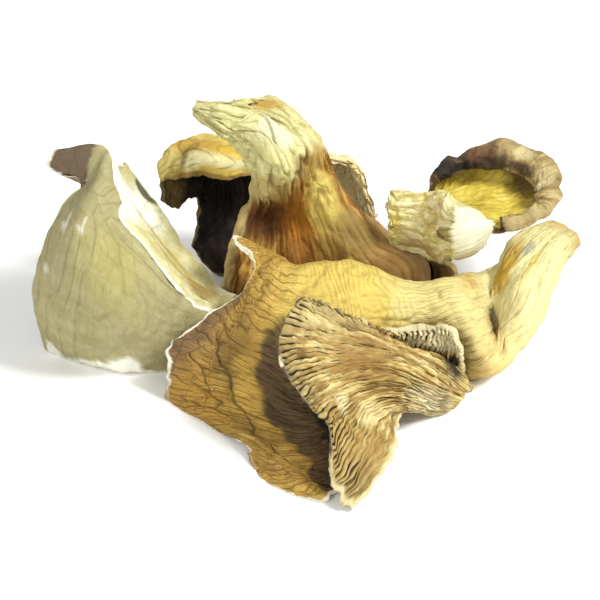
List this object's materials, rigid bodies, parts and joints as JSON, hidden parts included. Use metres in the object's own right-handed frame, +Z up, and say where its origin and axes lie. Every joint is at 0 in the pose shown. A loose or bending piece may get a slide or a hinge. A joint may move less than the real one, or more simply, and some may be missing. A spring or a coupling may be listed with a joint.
{
  "type": "oyster mushroom cluster",
  "caption": "Cluster of dried oyster mushrooms: curled fan-shaped caps with gills, torn margins and short stems, lying together.",
  "frame": {"origin": "middle of the cluster's outline on the surface it lies on", "axes": "+Z up, -Y toward the viewer, +X to the viewer's right, the way the front mushroom's stem points"},
  "size_m": [0.1129, 0.1017, 0.0521],
  "materials": {
    "ochre_flesh": "matt, dry and fibrous",
    "cream_gill_flesh": "matt, dry and fibrous",
    "brown_gill_flesh": "matt, dry and fibrous",
    "yellow_brown_flesh": "matt, dry and fibrous",
    "brown_rim_flesh": "matt, dry and fibrous",
    "pale_stem_flesh": "matt, dry and fibrous",
    "khaki_flesh": "matt, dry and fibrous"
  },
  "bodies": {
    "root": {"front_mushroom": "ochre_flesh", "gill_side_mushroom": "cream_gill_flesh", "standing_mushroom": "brown_gill_flesh", "back_mushroom": "yellow_brown_flesh", "bowl_mushroom": "brown_rim_flesh", "small_mushroom": "pale_stem_flesh", "left_mushroom": "khaki_flesh"}
  },
  "joints": []
}
